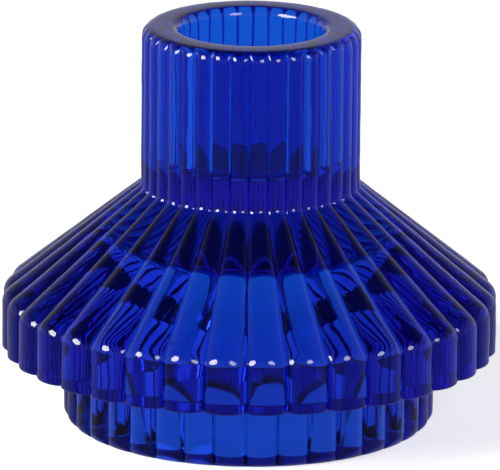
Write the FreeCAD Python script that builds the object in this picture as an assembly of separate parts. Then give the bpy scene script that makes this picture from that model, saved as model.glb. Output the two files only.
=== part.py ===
"""Ribbed pressed-glass candlestick, as one solid of glass.

The piece stands on a ring foot. Above the foot are a wider upright band, a sloping skirt
and a straight neck, and the same ribs run over all of them from the foot to the rim.
The neck has a blind socket for a dinner candle. Under the foot is a deep round recess,
which takes a tealight when the piece is turned over.

Millimetres, +Z up. The origin is the centre of the ring foot, on the table.
A radius of a ribbed wall is measured at the ribs' crests.
"""

import FreeCAD, Part
import math
import os

# Overall
height = 65.2
rib_count = 36

# Foot. Each rib depth is the crest's height over the valleys at one level
foot_radius = 30.0
foot_height = 11.9
foot_edge_radius = 2.0
foot_rib_depth = 0.8

# Upright band and the shoulder where it meets the skirt
band_radius = 40.0
band_height = 9.1
band_edge_radius = 0.5
band_rib_depth = 1.1
shoulder_radius = 2.8

# Skirt, and the inner corner where it meets the neck
skirt_height = 18.0
skirt_rib_depth = 1.9
skirt_root_rib_depth = 0.7
skirt_root_radius = 1.5

# Candle socket, for a standard dinner candle
candle_radius = 11.0
candle_clearance = 0.5
socket_radius = candle_radius + candle_clearance
socket_depth = 22.5
socket_mouth_radius = 1.6
socket_floor_radius = 1.5

# Neck round the socket, and its rim
neck_wall = 6.2
neck_radius = socket_radius + neck_wall
neck_rib_depth = 0.45
rim_radius = 1.9

# Recess under the foot, for a standard tealight with room for the fingers
tealight_radius = 19.0
tealight_clearance = 2.5
recess_radius = tealight_radius + tealight_clearance
recess_depth = 28.5
recess_mouth_radius = 1.0
recess_top_radius = 0.6

# Modelling
sections_per_round = 6
sewing_tolerance = 0.001

STRAIGHT, ROUND = "straight", "round"


def at_angle(radius, angle, z):
    """The point at a radius and an angle round the axis."""
    return FreeCAD.Vector(radius * math.cos(angle), radius * math.sin(angle), z)


def ribbed_wire(radius, z, depth):
    """A closed section of the ribbed wall: one outward arc for each rib, from valley over crest to valley."""
    half_rib = math.pi / rib_count
    arcs = []
    for k in range(rib_count):
        crest = (2 * k + 1) * half_rib
        arc = Part.Arc(
            at_angle(radius - depth, crest - half_rib, z),
            at_angle(radius, crest, z),
            at_angle(radius - depth, crest + half_rib, z),
        )
        arcs.append(arc.toShape())
    return Part.Wire(arcs)


def round_corner(before, corner, after, radius):
    """Points along the arc that rounds a corner of a profile, as (radius, height) pairs."""
    start_way = FreeCAD.Vector(before[0] - corner[0], before[1] - corner[1], 0).normalize()
    end_way = FreeCAD.Vector(after[0] - corner[0], after[1] - corner[1], 0).normalize()
    half_angle = start_way.getAngle(end_way) / 2
    apex = FreeCAD.Vector(corner[0], corner[1], 0)
    start = apex + start_way * (radius / math.tan(half_angle))
    end = apex + end_way * (radius / math.tan(half_angle))
    centre = apex + (start_way + end_way).normalize() * (radius / math.sin(half_angle))
    first = math.atan2(start.y - centre.y, start.x - centre.x)
    sweep = math.atan2(end.y - centre.y, end.x - centre.x) - first
    sweep = (sweep + math.pi) % (2 * math.pi) - math.pi
    points = []
    for k in range(sections_per_round):
        angle = first + sweep * k / (sections_per_round - 1)
        points.append((centre.x + radius * math.cos(angle), centre.y + radius * math.sin(angle)))
    return points


def outer_stretches():
    """The ribbed wall from the foot's face up to the rim's face.

    Each stretch is (kind, sections), and each section is (radius, z, rib depth).
    """
    band_bottom = foot_height
    band_top = band_bottom + band_height
    neck_bottom = band_top + skirt_height
    foot_in = (0.0, 0.0)
    foot_corner = (foot_radius, 0.0)
    foot_top = (foot_radius, foot_height)
    band_in = (foot_radius, band_bottom)
    band_low = (band_radius, band_bottom)
    band_high = (band_radius, band_top)
    skirt_root = (neck_radius, neck_bottom)
    rim_corner = (neck_radius, height)
    rim_in = (0.0, height)

    def rounded(before, corner, after, radius, first_depth, last_depth):
        sections = []
        for k, (r, z) in enumerate(round_corner(before, corner, after, radius)):
            share = math.sin(math.pi / 2 * k / (sections_per_round - 1)) ** 2
            sections.append((r, z, first_depth + (last_depth - first_depth) * share))
        return ROUND, sections

    foot_edge = rounded(foot_in, foot_corner, foot_top, foot_edge_radius, 0.0, foot_rib_depth)
    band_edge = rounded(band_in, band_low, band_high, band_edge_radius, band_rib_depth, band_rib_depth)
    shoulder = rounded(band_low, band_high, skirt_root, shoulder_radius, band_rib_depth, skirt_rib_depth)
    root = rounded(band_high, skirt_root, rim_corner, skirt_root_radius, skirt_root_rib_depth, neck_rib_depth)
    rim = rounded(skirt_root, rim_corner, rim_in, rim_radius, neck_rib_depth, 0.0)

    foot_wall = STRAIGHT, [foot_edge[1][-1], (foot_radius, foot_height, foot_rib_depth)]
    band_wall = STRAIGHT, [band_edge[1][-1], shoulder[1][0]]
    skirt = STRAIGHT, [shoulder[1][-1], root[1][0]]
    neck = STRAIGHT, [root[1][-1], rim[1][0]]
    return [foot_edge, foot_wall, band_edge, band_wall, shoulder, skirt, root, neck, rim]


def ribbed_faces(stretches):
    """The faces of the ribbed wall, one for each rib in each stretch."""
    faces = []
    for kind, sections in stretches:
        wires = [ribbed_wire(radius, z, depth) for radius, z, depth in sections]
        faces += Part.makeLoft(wires, False, kind == STRAIGHT).Faces
    return faces


def ring_face(outer_wire, inner_wire):
    """A flat ring between two closed wires in one level plane."""
    return Part.makeFace([outer_wire, inner_wire], "Part::FaceMakerBullseye")


def circle_wire(radius, z):
    """A level circle about the axis."""
    return Part.Wire(Part.makeCircle(radius, FreeCAD.Vector(0, 0, z)))


def pocket_faces(radius, mouth_z, floor_z, mouth_radius, floor_radius):
    """The walls of a round blind pocket with a rounded mouth and a rounded floor, by turning their profile."""
    inward = 1.0 if floor_z > mouth_z else -1.0
    quarter = math.cos(math.pi / 4)

    def point(r, z):
        return FreeCAD.Vector(r, 0, z)

    mouth_centre = point(radius + mouth_radius, mouth_z + inward * mouth_radius)
    mouth_mid = mouth_centre + FreeCAD.Vector(-mouth_radius * quarter, 0, -inward * mouth_radius * quarter)
    wall_start = point(radius, mouth_z + inward * mouth_radius)
    wall_end = point(radius, floor_z - inward * floor_radius)
    floor_centre = point(radius - floor_radius, floor_z - inward * floor_radius)
    floor_mid = floor_centre + FreeCAD.Vector(floor_radius * quarter, 0, inward * floor_radius * quarter)
    floor_edge = point(radius - floor_radius, floor_z)

    profile = [
        Part.Arc(point(radius + mouth_radius, mouth_z), mouth_mid, wall_start).toShape(),
        Part.makeLine(wall_start, wall_end),
        Part.Arc(wall_end, floor_mid, floor_edge).toShape(),
        Part.makeLine(floor_edge, point(0, floor_z)),
    ]
    turned = Part.Wire(profile).revolve(FreeCAD.Vector(0, 0, 0), FreeCAD.Vector(0, 0, 1), 360)
    return turned.Faces


def glass_body():
    """The whole candlestick: the ribbed outside, the flat rings and the two pockets, sewn into one solid."""
    stretches = outer_stretches()
    foot_start = stretches[0][1][0]
    foot_end = stretches[1][1][-1]
    band_start = stretches[2][1][0]
    rim_end = stretches[-1][1][-1]

    faces = ribbed_faces(stretches)
    faces.append(ring_face(ribbed_wire(*foot_start), circle_wire(recess_radius + recess_mouth_radius, 0.0)))
    faces.append(ring_face(ribbed_wire(*band_start), ribbed_wire(*foot_end)))
    faces.append(ring_face(ribbed_wire(*rim_end), circle_wire(socket_radius + socket_mouth_radius, height)))
    faces += pocket_faces(
        socket_radius, height, height - socket_depth, socket_mouth_radius, socket_floor_radius
    )
    faces += pocket_faces(recess_radius, 0.0, recess_depth, recess_mouth_radius, recess_top_radius)

    shell = Part.makeShell(faces)
    shell.sewShape(sewing_tolerance)
    solid = Part.makeSolid(shell)
    if solid.Volume < 0:
        solid.reverse()
    return solid


def main():
    os.makedirs("parts", exist_ok=True)
    body = glass_body()
    print("glass_body: valid", body.isValid(), "closed", body.isClosed(), "solids", len(body.Solids))
    print("glass_body: volume", round(body.Volume / 1000, 1), "cm3, faces", len(body.Faces))
    body.exportStep("parts/glass_body.step")


main()
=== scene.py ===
"""A ribbed candlestick of cobalt-blue pressed glass, on a plain pale floor.

Metres and +Z up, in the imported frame: the origin is the centre of the ring foot, on the table.
A radius of a ribbed wall is measured at the ribs' crests.
"""

import math

import bmesh
import bpy
import numpy as np
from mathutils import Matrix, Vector


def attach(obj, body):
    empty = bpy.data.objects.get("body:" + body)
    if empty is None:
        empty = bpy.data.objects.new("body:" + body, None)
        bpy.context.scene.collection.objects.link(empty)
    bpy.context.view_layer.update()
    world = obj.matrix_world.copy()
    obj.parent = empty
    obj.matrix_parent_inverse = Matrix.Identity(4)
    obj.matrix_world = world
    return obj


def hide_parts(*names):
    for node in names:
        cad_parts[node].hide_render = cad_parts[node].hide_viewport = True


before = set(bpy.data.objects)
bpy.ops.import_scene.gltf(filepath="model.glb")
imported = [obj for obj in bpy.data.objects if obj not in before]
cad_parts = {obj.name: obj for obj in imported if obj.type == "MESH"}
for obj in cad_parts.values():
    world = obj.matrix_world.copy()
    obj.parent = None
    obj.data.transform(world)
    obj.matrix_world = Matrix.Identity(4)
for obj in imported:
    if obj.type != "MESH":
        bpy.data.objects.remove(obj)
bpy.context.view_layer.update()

MM = 0.001

# The ribbed outside
RIB_COUNT = 36
FOOT_RADIUS = 30.0 * MM
FOOT_HEIGHT = 11.9 * MM
FOOT_EDGE_RADIUS = 2.0 * MM
FOOT_RIB_DEPTH = 0.8 * MM
BAND_RADIUS = 40.0 * MM
BAND_TOP = 21.0 * MM
BAND_EDGE_RADIUS = 0.5 * MM
BAND_RIB_DEPTH = 1.1 * MM
STEP_CORNER_RADIUS = 0.4 * MM
SHOULDER_RADIUS = 2.8 * MM
SKIRT_RIB_DEPTH = 1.9 * MM
SKIRT_ROOT_RIB_DEPTH = 0.7 * MM
NECK_BOTTOM = 39.0 * MM
NECK_ROOT_RADIUS = 1.5 * MM
NECK_RADIUS = 17.7 * MM
NECK_RIB_DEPTH = 0.45 * MM
RIM_RADIUS = 1.9 * MM
HEIGHT = 65.2 * MM

# The two pockets
SOCKET_RADIUS = 11.5 * MM
SOCKET_DEPTH = 22.5 * MM
SOCKET_MOUTH_RADIUS = 1.6 * MM
SOCKET_FLOOR_RADIUS = 1.5 * MM
RECESS_RADIUS = 21.5 * MM
RECESS_DEPTH = 28.5 * MM
RECESS_MOUTH_RADIUS = 1.0 * MM
RECESS_TOP_RADIUS = 0.6 * MM

# Rib shape: the power of the arch's fall from crest to valley, and the groove between two ribs.
# The groove's width and depth are shares of half a rib's width, and it is shallower on the skirt
RIB_POWER = 2.0
GROOVE_WIDTH = 0.25
GROOVE_DEPTH = 0.12
SKIRT_GROOVE_SHARE = 0.45

# Marks of the pressing: slow swells in the walls. Each has a number of waves round the axis and a number
# in every WAVE_LENGTH along the profile, drawn from these ranges
SEED = 11
WAVES = 12
WAVE_DEPTH = 0.09 * MM
WAVE_LENGTH = 5.0 * MM
WAVES_AROUND = (3, 22)
WAVES_ALONG = (0.3, 1.0)

# Small bubbles in the glass, low in the band and up in the neck's wall
BUBBLE_COUNT = 26
BUBBLE_RADII = (0.1 * MM, 0.28 * MM)
BAND_BUBBLE_SHARE = 0.6
BAND_BUBBLE_REACH = (24.5 * MM, 35.0 * MM)
BAND_BUBBLE_HEIGHT = (14.0 * MM, 19.5 * MM)
NECK_BUBBLE_REACH = (13.0 * MM, 16.0 * MM)
NECK_BUBBLE_HEIGHT = (45.0 * MM, 60.0 * MM)

# Mesh density. Points crowd towards the valleys, and an edge sharper than SHARP_ANGLE stays crisp
SAMPLES_PER_RIB = 14
SAMPLE_CROWDING = 1.6
ROUND_STEP = 0.35 * MM
ROUND_LEAST_STEPS = 4
STRAIGHT_STEP = 1.5 * MM
BUBBLE_SUBDIVISIONS = 2
SHARP_ANGLE = math.radians(25)

# Cobalt glass. The volume takes out more green where the glass is thick, and the polish varies in patches
GLASS_IOR = 1.51
GLASS_TINT = (0.006, 0.112, 0.6, 1.0)
ABSORPTION_COLOR = (0.97, 0.12, 0.85, 1.0)
ABSORPTION_DENSITY = 55.0
ROUGHNESS_RANGE = (0.02, 0.09)
PATCH_SCALE = 160.0
PATCH_DETAIL = 3.0
PATCH_RANGE = (0.3, 0.7)

# Floor
FLOOR_SIZE = 2.0
FLOOR_DROP = 0.02 * MM
FLOOR_COLOR = (0.9, 0.9, 0.9, 1.0)
FLOOR_ROUGHNESS = 0.6
FLOOR_GLOW = 0.65

# Room, as (degrees above level, grey level). The front has only a share of the light, which rises to
# the whole between these two values of a direction's Y
ROOM_LEVELS = (
    (-90, 0.25),
    (-8, 0.35),
    (2, 0.7),
    (18, 0.42),
    (30, 0.28),
    (42, 0.12),
    (60, 0.04),
    (90, 0.02),
)
ROOM_FRONT_SHARE = 0.4
ROOM_FRONT_TO_BACK = (-0.5, 0.6)

# Two soft lights, with angles in degrees and powers in watts. Azimuth 0 is the front, positive to the right
SOFTBOX_DISTANCE = 1.0
LEFT_AZIMUTH = -56.0
LEFT_ELEVATION = 24.0
LEFT_SIZE = 0.55
LEFT_POWER = 12.0
RIGHT_AZIMUTH = 28.0
RIGHT_ELEVATION = 25.0
RIGHT_SIZE = 0.45
RIGHT_POWER = 4.0

# Camera
CAMERA_DISTANCE = 1.5
CAMERA_ELEVATION = math.radians(16.0)
CAMERA_AZIMUTH = math.radians(0.8)
CAMERA_ROLL = math.radians(0.5)
CAMERA_LENS = 670.0
CAMERA_SENSOR = 36.0
CAMERA_FAR_CLIP = 20.0
CAMERA_AIM = Vector((0, 0, 30.3 * MM))

# Deep enough for light to find its way through the ribs
LIGHT_BOUNCES = 24


def round_corner(before, corner, after, radius):
    """Points along the arc that rounds a corner of a profile, as (radius, height) pairs."""
    corner = Vector(corner)
    start_way = (Vector(before) - corner).normalized()
    end_way = (Vector(after) - corner).normalized()
    half_angle = start_way.angle(end_way) / 2
    start = corner + start_way * radius / math.tan(half_angle)
    centre = corner + (start_way + end_way).normalized() * radius / math.sin(half_angle)
    spoke = start - centre
    sweep = math.pi - 2 * half_angle
    if start_way.x * end_way.y - start_way.y * end_way.x > 0:
        sweep = -sweep
    steps = max(ROUND_LEAST_STEPS, math.ceil(abs(sweep) * radius / ROUND_STEP))
    points = []
    for k in range(steps + 1):
        turn = sweep * k / steps
        cos, sin = math.cos(turn), math.sin(turn)
        points.append(centre + Vector((spoke.x * cos - spoke.y * sin, spoke.x * sin + spoke.y * cos)))
    return points


def body_profile():
    """The closed profile from the recess's top centre, round the outside, to the socket's floor centre.

    Each entry is (radius, height, rib depth); straight stretches are divided so that the ribs stay even.
    """
    corners = [
        # (radius, height), rounding radius, rib depth before and after the corner
        ((0.0, RECESS_DEPTH), 0.0, 0.0, 0.0),
        ((RECESS_RADIUS, RECESS_DEPTH), RECESS_TOP_RADIUS, 0.0, 0.0),
        ((RECESS_RADIUS, 0.0), RECESS_MOUTH_RADIUS, 0.0, 0.0),
        ((FOOT_RADIUS, 0.0), FOOT_EDGE_RADIUS, 0.0, FOOT_RIB_DEPTH),
        ((FOOT_RADIUS, FOOT_HEIGHT), STEP_CORNER_RADIUS, FOOT_RIB_DEPTH, FOOT_RIB_DEPTH),
        ((BAND_RADIUS, FOOT_HEIGHT), BAND_EDGE_RADIUS, BAND_RIB_DEPTH, BAND_RIB_DEPTH),
        ((BAND_RADIUS, BAND_TOP), SHOULDER_RADIUS, BAND_RIB_DEPTH, SKIRT_RIB_DEPTH),
        ((NECK_RADIUS, NECK_BOTTOM), NECK_ROOT_RADIUS, SKIRT_ROOT_RIB_DEPTH, NECK_RIB_DEPTH),
        ((NECK_RADIUS, HEIGHT), RIM_RADIUS, NECK_RIB_DEPTH, 0.0),
        ((SOCKET_RADIUS, HEIGHT), SOCKET_MOUTH_RADIUS, 0.0, 0.0),
        ((SOCKET_RADIUS, HEIGHT - SOCKET_DEPTH), SOCKET_FLOOR_RADIUS, 0.0, 0.0),
        ((0.0, HEIGHT - SOCKET_DEPTH), 0.0, 0.0, 0.0),
    ]
    points = []
    for k, (corner, rounding, depth_in, depth_out) in enumerate(corners):
        if not rounding:
            stretch = [Vector(corner)]
        else:
            stretch = round_corner(corners[k - 1][0], corner, corners[k + 1][0], rounding)
        last = max(1, len(stretch) - 1)
        for j, point in enumerate(stretch):
            share = 0.5 - 0.5 * math.cos(math.pi * j / last)
            depth = depth_in + (depth_out - depth_in) * share
            if points and j == 0:
                points += divided(points[-1], (point.x, point.y, depth))
            points.append((point.x, point.y, depth))
    return points


def divided(start, end):
    """The points that divide a straight stretch of the profile, without its two ends."""
    length = math.hypot(end[0] - start[0], end[1] - start[1])
    count = max(1, math.ceil(length / STRAIGHT_STEP))
    return [
        tuple(a + (b - a) * k / count for a, b in zip(start, end))
        for k in range(1, count)
    ]


def rib_outline(radius, z, depth):
    """Points round one section. Each rib is an arched face, parted from the next by a fine groove."""
    half_rib = math.pi / RIB_COUNT
    share = 2 * np.arange(SAMPLES_PER_RIB) / SAMPLES_PER_RIB - 1
    share = np.sign(share) * (1 - (1 - np.abs(share)) ** SAMPLE_CROWDING)
    into_groove = np.clip(1 - (1 - np.abs(share)) / GROOVE_WIDTH, 0.0, 1.0)
    groove = GROOVE_DEPTH * radius * half_rib * min(1.0, depth / NECK_RIB_DEPTH)
    off_the_skirt = max(BAND_TOP - z, z - NECK_BOTTOM) / SHOULDER_RADIUS
    groove *= min(1.0, max(SKIRT_GROOVE_SHARE, off_the_skirt))
    reach = radius - depth * np.abs(share) ** RIB_POWER - groove * into_groove ** 2
    crest = (2 * np.arange(RIB_COUNT)[:, None] + 1) * half_rib
    angle = crest + share * half_rib
    return np.stack([reach * np.cos(angle), reach * np.sin(angle)], axis=-1).reshape(-1, 2)


def waviness(angle, way_along):
    """How far the fire-polished wall lies under its true line: slow swells, from none to WAVE_DEPTH."""
    rng = np.random.default_rng(SEED)
    swell = np.zeros_like(angle)
    for _ in range(WAVES):
        around = rng.integers(*WAVES_AROUND)
        along = rng.uniform(*WAVES_ALONG) / WAVE_LENGTH
        phases = rng.uniform(0, 2 * math.pi, 2)
        swell += np.cos(around * angle + phases[0]) * np.cos(2 * math.pi * along * way_along + phases[1])
    return WAVE_DEPTH * np.clip(0.5 + swell / (2 * math.sqrt(WAVES)), 0.0, 1.0)


def bubbles():
    """The small round bubbles in the thick glass, as (centre, radius)."""
    rng = np.random.default_rng(SEED)
    places = []
    for _ in range(BUBBLE_COUNT):
        angle = rng.uniform(0, 2 * math.pi)
        in_band = rng.uniform() < BAND_BUBBLE_SHARE
        reach = rng.uniform(*(BAND_BUBBLE_REACH if in_band else NECK_BUBBLE_REACH))
        z = rng.uniform(*(BAND_BUBBLE_HEIGHT if in_band else NECK_BUBBLE_HEIGHT))
        places.append(((reach * math.cos(angle), reach * math.sin(angle), z), rng.uniform(*BUBBLE_RADII)))
    return places


def glass_mesh(profile):
    """The closed mesh of the glass: rings of points round the axis, a pole at each end, and the bubbles."""
    around = RIB_COUNT * SAMPLES_PER_RIB
    rings = profile[1:-1]
    points = [(0.0, 0.0, profile[0][1])]
    way_along = 0.0
    for k, (radius, z, depth) in enumerate(rings):
        way_along += math.hypot(radius - rings[k - 1][0], z - rings[k - 1][1]) if k else 0.0
        outline = rib_outline(radius, z, depth)
        reach = np.hypot(outline[:, 0], outline[:, 1])
        wave = waviness(np.arctan2(outline[:, 1], outline[:, 0]), way_along)
        wave *= min(1.0, radius / SOCKET_RADIUS)
        outline *= ((reach - wave) / reach)[:, None]
        points += [(x, y, z) for x, y in outline]
    points.append((0.0, 0.0, profile[-1][1]))
    faces = []
    for k in range(around):
        n = (k + 1) % around
        faces.append((0, 1 + n, 1 + k))
        for ring in range(len(rings) - 1):
            low, high = 1 + ring * around, 1 + (ring + 1) * around
            faces.append((low + k, low + n, high + n, high + k))
        top = 1 + (len(rings) - 1) * around
        faces.append((top + k, top + n, len(points) - 1))
    ball = bmesh.new()
    bmesh.ops.create_icosphere(ball, subdivisions=BUBBLE_SUBDIVISIONS, radius=1.0)
    ball_points = [tuple(v.co) for v in ball.verts]
    ball_faces = [tuple(v.index for v in reversed(f.verts)) for f in ball.faces]
    ball.free()
    for centre, radius in bubbles():
        first = len(points)
        points += [tuple(c + radius * p for c, p in zip(centre, point)) for point in ball_points]
        faces += [tuple(first + i for i in face) for face in ball_faces]
    mesh = bpy.data.meshes.new("glass_body_visual")
    mesh.from_pydata(points, [], faces)
    mesh.validate()
    mesh.update()
    return mesh


def cobalt_glass():
    """Clear cobalt-blue glass, tinted where light crosses its surface and deeper where it is thick."""
    material = bpy.data.materials.new("cobalt_glass")
    material.use_nodes = True
    nodes, links = material.node_tree.nodes, material.node_tree.links
    nodes.clear()
    output = nodes.new("ShaderNodeOutputMaterial")
    shader = nodes.new("ShaderNodeBsdfPrincipled")
    shader.inputs["Base Color"].default_value = GLASS_TINT
    shader.inputs["IOR"].default_value = GLASS_IOR
    shader.inputs["Transmission Weight"].default_value = 1.0
    place = nodes.new("ShaderNodeTexCoord")
    patches = nodes.new("ShaderNodeTexNoise")
    patches.inputs["Scale"].default_value = PATCH_SCALE
    patches.inputs["Detail"].default_value = PATCH_DETAIL
    polish = nodes.new("ShaderNodeMapRange")
    polish.inputs["From Min"].default_value, polish.inputs["From Max"].default_value = PATCH_RANGE
    polish.inputs["To Min"].default_value, polish.inputs["To Max"].default_value = ROUGHNESS_RANGE
    links.new(place.outputs["Object"], patches.inputs["Vector"])
    links.new(patches.outputs["Fac"], polish.inputs["Value"])
    links.new(polish.outputs["Result"], shader.inputs["Roughness"])
    volume = nodes.new("ShaderNodeVolumeAbsorption")
    volume.inputs["Color"].default_value = ABSORPTION_COLOR
    volume.inputs["Density"].default_value = ABSORPTION_DENSITY
    links.new(shader.outputs["BSDF"], output.inputs["Surface"])
    links.new(volume.outputs["Volume"], output.inputs["Volume"])
    return material


def glass_body():
    """The candlestick's one visible piece."""
    body = bpy.data.objects.new("glass_body_visual", glass_mesh(body_profile()))
    bpy.context.scene.collection.objects.link(body)
    body.data.materials.append(cobalt_glass())
    for polygon in body.data.polygons:
        polygon.use_smooth = True
    body.data.set_sharp_from_angle(angle=SHARP_ANGLE)
    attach(body, "root")
    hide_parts("glass_body")


def studio_floor():
    """A wide plain pale floor just under the foot, with an even light of its own, as on a light table.

    Mirror reflections don't see it, which keeps the front of the glass dark.
    """
    mesh = bpy.data.meshes.new("studio_floor")
    half = FLOOR_SIZE / 2
    corners = [(x, y, -FLOOR_DROP) for x, y in ((-half, -half), (half, -half), (half, half), (-half, half))]
    mesh.from_pydata(corners, [], [(0, 1, 2, 3)])
    floor = bpy.data.objects.new("studio_floor", mesh)
    bpy.context.scene.collection.objects.link(floor)
    material = bpy.data.materials.new("studio_floor")
    material.use_nodes = True
    shader = material.node_tree.nodes["Principled BSDF"]
    shader.inputs["Base Color"].default_value = FLOOR_COLOR
    shader.inputs["Roughness"].default_value = FLOOR_ROUGHNESS
    shader.inputs["Emission Color"].default_value = FLOOR_COLOR
    shader.inputs["Emission Strength"].default_value = FLOOR_GLOW
    mesh.materials.append(material)
    floor.visible_glossy = False


def fill_ramp(ramp, stops):
    """Give a ramp its grey stops, as (place, level)."""
    elements = ramp.color_ramp.elements
    elements.remove(elements[-1])
    for k, (place, level) in enumerate(stops):
        stop = elements[0] if k == 0 else elements.new(place)
        stop.position = place
        stop.color = (level, level, level, 1.0)


def studio_world():
    """A dim room: light walls near the floor and behind, and a dark ceiling."""
    world = bpy.data.worlds.new("studio_world")
    bpy.context.scene.world = world
    world.use_nodes = True
    nodes, links = world.node_tree.nodes, world.node_tree.links
    direction = nodes.new("ShaderNodeTexCoord")
    split = nodes.new("ShaderNodeSeparateXYZ")
    height = nodes.new("ShaderNodeMapRange")
    height.inputs["From Min"].default_value = -1.0
    ramp = nodes.new("ShaderNodeValToRGB")
    stops = [((math.sin(math.radians(elevation)) + 1) / 2, level) for elevation, level in ROOM_LEVELS]
    fill_ramp(ramp, stops)
    links.new(direction.outputs["Generated"], split.inputs["Vector"])
    links.new(split.outputs["Z"], height.inputs["Value"])
    links.new(height.outputs["Result"], ramp.inputs["Fac"])
    links.new(ramp.outputs["Color"], nodes["Background"].inputs["Color"])
    facing = nodes.new("ShaderNodeMapRange")
    facing.interpolation_type = "SMOOTHSTEP"
    facing.inputs["From Min"].default_value, facing.inputs["From Max"].default_value = ROOM_FRONT_TO_BACK
    facing.inputs["To Min"].default_value = ROOM_FRONT_SHARE
    facing.inputs["To Max"].default_value = 1.0
    links.new(split.outputs["Y"], facing.inputs["Value"])
    links.new(facing.outputs["Result"], nodes["Background"].inputs["Strength"])


def softbox(name, azimuth, elevation, size, power):
    """A round soft light aimed at the candlestick."""
    light = bpy.data.lights.new(name, "AREA")
    light.shape = "DISK"
    light.size = size
    light.energy = power
    lamp = bpy.data.objects.new(name, light)
    a, e = math.radians(azimuth), math.radians(elevation)
    way = Vector((math.sin(a) * math.cos(e), -math.cos(a) * math.cos(e), math.sin(e)))
    lamp.location = Vector((0, 0, HEIGHT / 2)) + way * SOFTBOX_DISTANCE
    lamp.rotation_euler = way.to_track_quat("Z", "Y").to_euler()
    bpy.context.scene.collection.objects.link(lamp)


def studio_camera():
    """The camera, a long lens that looks slightly down on the front."""
    data = bpy.data.cameras.new("camera")
    data.lens = CAMERA_LENS
    data.sensor_width = CAMERA_SENSOR
    data.clip_end = CAMERA_FAR_CLIP
    camera = bpy.data.objects.new("camera", data)
    way = Vector((
        math.sin(CAMERA_AZIMUTH) * math.cos(CAMERA_ELEVATION),
        -math.cos(CAMERA_AZIMUTH) * math.cos(CAMERA_ELEVATION),
        math.sin(CAMERA_ELEVATION),
    ))
    camera.location = CAMERA_AIM + way * CAMERA_DISTANCE
    camera.rotation_euler = way.to_track_quat("Z", "Y").to_euler()
    camera.rotation_euler.rotate_axis("Z", CAMERA_ROLL)
    bpy.context.scene.collection.objects.link(camera)
    bpy.context.scene.camera = camera


glass_body()
studio_floor()
studio_world()
softbox("left_softbox", LEFT_AZIMUTH, LEFT_ELEVATION, LEFT_SIZE, LEFT_POWER)
softbox("right_softbox", RIGHT_AZIMUTH, RIGHT_ELEVATION, RIGHT_SIZE, RIGHT_POWER)
studio_camera()
scene = bpy.context.scene
scene.view_settings.view_transform = "Standard"
scene.cycles.max_bounces = LIGHT_BOUNCES
scene.cycles.transmission_bounces = LIGHT_BOUNCES
